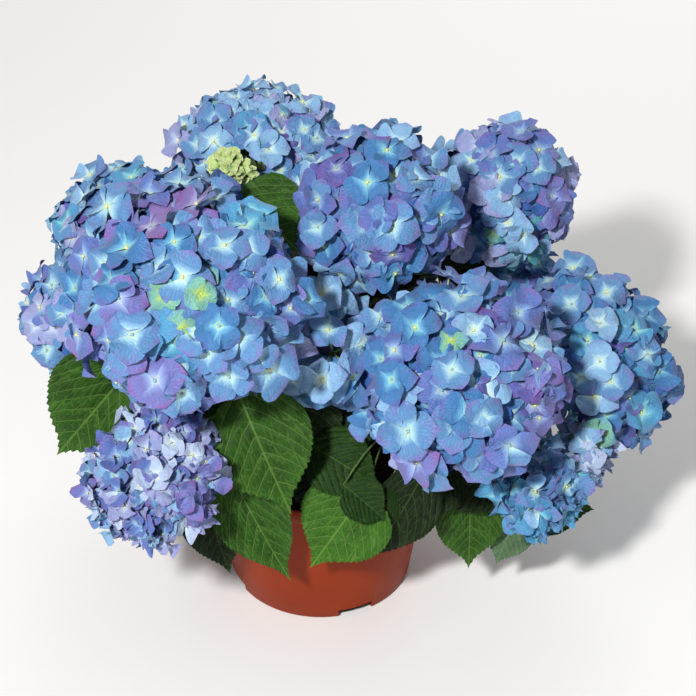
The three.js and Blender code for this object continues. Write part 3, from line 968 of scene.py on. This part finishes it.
ray_shape, floret_stalk_shape = stalk_shape(6, 4), stalk_shape(4, 2)
stalk_green = green_stem("flower_stalk_skin", "7fa05a", "b4cc8e", "8aa0a0")
copies = []
for k, (name, stands) in enumerate(head_stands.items()):
    chance = random.Random(500 + k)
    fork = shoot_line(name)[-1]
    left = [stand[0] for stand in stands]
    while left:
        lead = left[chance.randrange(len(left))]
        group = sorted(left, key=lambda spot: (spot - lead).length)[:FLORETS_ON_RAY]  # its neighbours
        left = [spot for spot in left if spot not in group]
        middle = sum(group, Vector()) / len(group)
        knot = fork.lerp(middle, chance.uniform(0.5, 0.62))
        bow = scatter(chance, 0.03) * (knot - fork).length
        copies.append(bent_stalk(ray_shape, fork, knot, RAY, bow))
        for spot in group:
            bow = scatter(chance, 0.06) * (spot - knot).length
            copies.append(bent_stalk(floret_stalk_shape, knot, spot, FLORET_STALK, bow))


def stalk_piece(name, copies, finish):
    """Stalks of one finish as one piece, which needs no bake map of its own."""
    piece = joined(name, copies, "stalk", [finish], 1)
    piece.data.uv_layers.remove(piece.data.uv_layers["OFBake"])


stalk_piece("flower_stalks", copies, stalk_green)


# ---- Leaves ----
# Opposite, broad, ovate leaves, saw-toothed all round and drawn out to a point. The blade is thick and
# quilted between pale sunken veins. Those over the pot hang from their stalks with the light on them.
LEAF_STATIONS = (0, 0.03, 0.08, 0.16, 0.27, 0.40, 0.54, 0.68, 0.80, 0.88, 0.94, 1)
LEAF_HALVES = (0, 0.30, 0.60, 0.85, 0.98, 1.0, 0.91, 0.71, 0.43, 0.20, 0.08, 0)
TOOTH, NOTCH = 0.045, 0.03  # how far the edge stands out and in, as shares of the half width
SIDE_VEIN_GAP = 0.125
SIDE_VEIN_RISE = 0.28  # side veins rise this much by the edge, and as much again in a curve
LEAF_TILES = 3

# Each tint: the blade between the veins, its paler parts, and its veins.
# The first four tints are one green at four strengths: lit and bright for leaves in the light, as painted
# light, and deep and the darkest for leaves in shade, as painted shade. The young and underside tints are the
# leaf's own colours.
LEAF_TINTS = {
    "lit": "183408 295413 62883c",
    "bright": "20470d 356619 6e9440",
    "deep": "10280a 1a380e 48682f",
    "painted_dark_shade": "091705 0e1f08 42582e",
    "young": "7fae44 a8ca6c cfe39c",
    "underside": "3c5a3e 557350 748c6c",
}


def leaf_skin(name, colours, number):
    """Quilted, net-veined leaf skin on the blade's own map: u across it, v from base to tip."""
    blade, pale, vein = [paint(code) for code in colours.split()]
    finish = Finish("leaf_" + name, 0.58, 0.15)
    at = finish.place("blade")
    parts = finish.node("SeparateXYZ", Vector=at)
    aside = finish.times(finish.sum("ABSOLUTE", finish.sum("SUBTRACT", parts.outputs["X"], 0.5)), 2)
    along = parts.outputs["Y"]
    shifted = finish.node("Mapping", Vector=at, Location=(1.3 * number, 2.9 * number, 0)).outputs["Vector"]
    wander = finish.sum("MULTIPLY_ADD", finish.cloud(shifted, 4, 1), 0.06, -0.03)
    curved = finish.sum("MULTIPLY_ADD", aside, aside, aside)
    bent = finish.times(curved, SIDE_VEIN_RISE)
    climbed = finish.sum("ADD", finish.sum("SUBTRACT", along, bent), wander)
    phase = finish.sum("DIVIDE", climbed, SIDE_VEIN_GAP)
    swing = finish.sum("ABSOLUTE", finish.sum("SINE", finish.times(phase, math.pi)))
    side_vein = finish.fade(swing, 0.04, 0.2)
    midrib = finish.fade(aside, 0.006, 0.026)
    # Rungs: short veins that cross from one side vein to the next.
    steps_out = finish.times(aside, 13)
    rung_way = finish.node("CombineXYZ", X=steps_out, Y=finish.times(phase, 0.9))
    rungs = finish.fade(finish.net(rung_way.outputs["Vector"], 1.0, 0.75), 0.0, 0.08)
    netting = finish.fade(finish.net(shifted, 34, 1.0), 0.0, 0.12)
    veins = finish.sum("MAXIMUM", midrib, finish.times(side_vein, 0.9))
    veins = finish.sum("MAXIMUM", veins, finish.times(rungs, 0.5))
    veins = finish.sum("MAXIMUM", veins, finish.times(netting, 0.16))
    colour = finish.ramp(finish.cloud(shifted, 5, 5, 0.65), (0.34, blade), (0.66, pale))
    colour = finish.blend(finish.times(finish.grade(along, 0.5, 1.0), 0.65), colour, pale)
    # Beside the sunken veins the blade is darkened towards its deepest green: painted shade in the creases of
    # the quilting.
    shade = finish.times(finish.fade(swing, 0.08, 0.5), 0.4)
    colour = finish.blend(shade, colour, blade)
    colour = finish.blend(finish.times(veins, 0.66), colour, vein)
    quilt = finish.sum("SUBTRACT", finish.times(swing, 0.7), finish.times(rungs, 0.3))
    return finish.coat(colour, quilt, 0.5, 0.0018)


def leaf_blade(squares, arch, fold, flutter, seed):
    """A blade along +Y, one unit long and one unit wide each side of its midrib."""
    bm, layer, number = small_mesh()
    bmesh.ops.create_grid(bm, x_segments=squares, y_segments=squares, size=0.5)
    for vert in bm.verts:
        along, side, half = on_blade(vert, LEAF_STATIONS, LEAF_HALVES)
        # Points of the edge stand out and in by turns, as saw teeth that lean towards the tip.
        if abs(side) > 0.999 and 0.04 < along < 0.97:
            tooth = round(along * 2 * squares) % 2
            half += math.copysign(TOOTH if tooth else -NOTCH, side) * min(1, 3.5 * (1 - along))
            along += 0.9 / (2 * squares) if tooth else 0
        for loop in vert.link_loops:
            loop[layer].uv = (0.5 + 0.46 * half, 0.01 + 0.96 * along)
        # The blade puffs up between its side veins, and flutters towards its edge.
        phase = (along - SIDE_VEIN_RISE * (abs(half) + half * half)) / SIDE_VEIN_GAP
        inner = 1 - abs(side) ** 4
        quilt = 0.007 * abs(math.sin(math.pi * phase)) * inner * math.sin(math.pi * min(along, 1))
        ripple = flutter * abs(half) ** 2 * math.sin(seed + 11 * along + (2 if half > 0 else 0))
        drop = arch * 4 * along * (1 - along) + 0.12 * abs(half) * fold * 4 - 0.10 * half * half * fold
        vert.co = (half, along + 0.08 * along**14, drop + quilt + ripple)
    return shape_of(bm, layer, number)


# Each form of blade: how it arches, how its halves fold up, how its edge flutters, and the flutter's seed.
BIG_FORMS = ((0.05, 0.2, 0.02, 1), (0.09, 0.35, 0.03, 2), (0.12, 0.1, 0.03, 3))
SMALL_FORMS = ((0.08, 0.4, 0.04, 4), (0.12, 0.2, 0.05, 5), (0.05, 0.5, 0.04, 6))
big_blades = [leaf_blade(24, *form) for form in BIG_FORMS]
small_blades = [leaf_blade(14, *form) for form in SMALL_FORMS]
leaf_finishes = [leaf_skin(name, colours, k) for k, (name, colours) in enumerate(LEAF_TINTS.items())]
leaf_number = {name: k for k, name in enumerate(LEAF_TINTS)}

# The leaves that show at the front: base and tip in millimetres, width, the compass angle and lean that
# the upper face looks to, tint, and for one the place on a limb that its stalk leaves.
# A leaf's tint paints the light or shade it stands in: the lighter tints are painted light, the darker ones
# painted shade.
LEADING_LEAVES = {
    "left": [
        ((-116, -60, 230), (-173, -66, 157), 74, (300, 40), "lit"),
        ((-98, -58, 202), (-142, -70, 160), 50, (255, 50), "deep"),
    ],
    "front_left": [
        ((-52, -82, 217), (-20, -112, 145), 72, (265, 55), "lit"),
        ((-72, -54, 222), (-60, -78, 168), 48, (255, 50), "deep"),
    ],
    "over_pot_left": [((-60, -86, 156), (-22, -106, 80), 50, (262, 62), "lit")],
    "over_pot": [((34, -84, 138), (-3, -103, 87), 63, (275, 50), "bright")],
    "front": [
        ((17, -93, 147), (44, -100, 123), 31, (285, 50), "deep", (58, -54, 166)),
        ((-48, -50, 224), (-16, -62, 178), 52, (270, 45), "painted_dark_shade"),
        ((-6, -66, 160), (40, -84, 138), 46, (270, 45), "deep"),
        ((4, -58, 150), (-6, -84, 112), 50, (255, 50), "painted_dark_shade"),
        ((10, -40, 190), (20, -62, 136), 52, (280, 45), "painted_dark_shade"),
        ((-18, -46, 196), (-4, -62, 140), 56, (270, 50), "painted_dark_shade"),
    ],
    "front_right": [
        ((74, -70, 146), (33, -86, 78), 46, (290, 55), "painted_dark_shade"),
        ((50, -78, 140), (54, -88, 108), 24, (320, 50), "deep"),
        ((92, -60, 134), (72, -76, 106), 34, (280, 50), "painted_dark_shade"),
    ],
    "right": [
        ((128, -48, 126), (77, -66, 110), 42, (285, 55), "painted_dark_shade"),
        ((148, -46, 96), (190, -48, 88), 44, (280, 60), "deep"),
        ((84, 62, 212), (124, 58, 227), 36, (280, 50), "painted_dark_shade"),
    ],
    "low_right": [
        ((104, -54, 118), (105, -66, 54), 50, (280, 60), "lit"),
        ((143, -44, 88), (126, -60, 50), 36, (250, 60), "underside"),
    ],
    "low_left": [((-80, -50, 104), (-64, -68, 50), 42, (255, 55), "painted_dark_shade")],
    "top": [((-56, 0, 318), (-14, -26, 292), 62, (290, 42), "lit")],
}
# The other masses are sprays: one large leaf along the heading and a smaller pair beside it. A spray is
# told by its middle and the large leaf's length in millimetres, its heading, its dip and its tint.
# A spray's tint likewise paints the light or shade it stands in.
LEAF_SPRAYS = {
    "inner": [((16, -16, 206), 92, 300, 8, "painted_dark_shade")],
    "crown": [
        ((26, 24, 236), 100, 60, -15, "painted_dark_shade"),
        ((56, 2, 232), 74, 330, 0, "painted_dark_shade"),
        ((-18, 74, 214), 84, 100, 0, "deep"),
    ],
    "left_back": [
        ((-122, 52, 158), 112, 160, 22, "lit"),
        ((-92, 62, 198), 80, 150, 4, "deep"),
        ((-86, 14, 112), 84, 194, 38, "deep"),
    ],
    "back_left": [((-46, 118, 124), 100, 112, 52, "lit"), ((-36, 100, 168), 92, 104, 12, "lit")],
    "back": [((44, 116, 118), 100, 68, 52, "deep"), ((14, 92, 190), 86, 84, -6, "lit")],
    "back_right": [((122, 54, 118), 100, 20, 40, "lit"), ((96, 74, 168), 84, 46, 8, "deep")],
}
SPRAY_TURNS = ((0, 1.0, big_blades), (48, 0.72, small_blades), (-48, 0.72, small_blades))
LEAF_SHAPE = 0.68  # a leaf's width over its length
LEAF_STALK = 0.0006

# Leaf stalks leave the boughs above their feet, and the shoots below their flowers.
limb_spots = [spot for tip in BOUGH_TIPS.values() for spot in bough_line(tip)[4:]]
limb_spots += [spot for name in HEADS for spot in shoot_line(name)[:-5]]


def lay_leaf(shape, base, tip, wide, face, tint):
    """A blade placed from base to tip with its upper face looking a given way."""
    along = (tip - base).normalized()
    side = along.cross(face).normalized()
    up = side.cross(along)
    frame_of = np.array([side, along, up])
    long = (tip - base).length
    points = shape["points"] * [wide / 2, long, long]
    return (shape, points @ frame_of + np.array(base), np.full(len(shape["faces"]), leaf_number[tint]))


stalk_copies = []
leaf_stalk_shape = stalk_shape(6, 6)


def stalk_to(base, near=None):
    """The leaf's stalk to the blade's base, from the limb nearest to it or to a given place."""
    near = base * 0.94 if near is None else metres(near)
    start = min(limb_spots, key=lambda spot: (spot - near).length)
    bow = Vector((0, 0, 0.14 * (base - start).length))
    stalk_copies.append(bent_stalk(leaf_stalk_shape, start, base, LEAF_STALK, bow))


def leaf_mass(name, copies):
    leaves = joined("leaf_blades_" + name, copies, "blade", leaf_finishes, LEAF_TILES)
    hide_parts("leaves_" + name)


leaf_maker = random.Random(77)
for name, leaves in LEADING_LEAVES.items():
    copies = []
    for base, tip, wide, faces, tint, *near in leaves:
        base, tip = metres(base), metres(tip)
        copies.append(lay_leaf(leaf_maker.choice(big_blades), base, tip, wide / 1000, facing(*faces), tint))
        stalk_to(base, *near)
    leaf_mass(name, copies)
for name, sprays in LEAF_SPRAYS.items():
    copies = []
    for middle, long, heading, dip, tint in sprays:
        middle, long = metres(middle), long / 1000
        for turn, share, blades in SPRAY_TURNS:
            way = facing(heading + turn, 90 + dip)
            base = middle - facing(heading, 90 + dip) * 0.42 * long
            tip = base + way * long * share
            face = Vector((0, 0, 1)) - way * way.z + scatter(leaf_maker, 0.12)
            wide = long * share * LEAF_SHAPE
            copies.append(lay_leaf(leaf_maker.choice(blades), base, tip, wide, face, tint))
            stalk_to(base)
    leaf_mass(name, copies)
# Leaf stalks are a darker green than the shoots, partly painted shade, as most of them stand in the shade
# under the heads.
stalk_piece("leaf_stalks", stalk_copies, green_stem("leaf_stalk_skin", "36501e", "567434", "54462e"))


# ---- Floor, light and camera ----
# A white studio table in a softly lit white room. A small bright lamp stands high in front, a little to
# the left, and a broad faint one behind. The camera looks down on the plant through a long lens.
TARGET = Vector((0.0201, 0, 0.1928))
CAMERA_ANGLE = math.radians(36)
CAMERA_AWAY = 1.5
FOCAL_LENGTH = 112.13  # millimetres, as is the sensor's width
SENSOR = 36
ROOM_LIGHT = 0.28

bm = bmesh.new()
bmesh.ops.create_grid(bm, x_segments=1, y_segments=1, size=6)
floor = linked("studio_table", mesh_from(bm, "studio_table"))
floor.data.materials.append(Finish("studio_white", 0.9, 0.1).coat((0.92, 0.92, 0.92, 1)))
floor.location.z = -0.0005  # just clear of the pot
floor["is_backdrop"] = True

world = bpy.data.worlds.new("studio_room")
world.use_nodes = True
world.node_tree.nodes["Background"].inputs["Color"].default_value = (1, 1, 1, 1)
world.node_tree.nodes["Background"].inputs["Strength"].default_value = ROOM_LIGHT
scene.world = world


def lamp(name, place, power, wide):
    light = bpy.data.lights.new(name, "AREA")
    light.energy = power
    light.size = wide
    light.color = (1, 0.985, 0.96)
    made = linked(name, light)
    made.location = place
    made.rotation_euler = (TARGET - Vector(place)).to_track_quat("-Z", "Y").to_euler()


lamp("key_lamp", (-0.55, -1.54, 1.68), 50, 0.17)
lamp("back_lamp", (0.6, 1.7, 1.3), 18, 1.4)

lens = bpy.data.cameras.new("camera")
lens.lens = FOCAL_LENGTH
lens.sensor_width = SENSOR
camera = linked("camera", lens)
camera.location = TARGET - CAMERA_AWAY * Vector((0, math.cos(CAMERA_ANGLE), -math.sin(CAMERA_ANGLE)))
camera.rotation_euler = (math.pi / 2 - CAMERA_ANGLE, 0, 0)
scene.camera = camera
scene.view_settings.view_transform = "Standard"

boxes = {"cad": cad_box, "visual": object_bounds()}
{key: [[float(n) for n in corner] for corner in box] for key, box in boxes.items()}
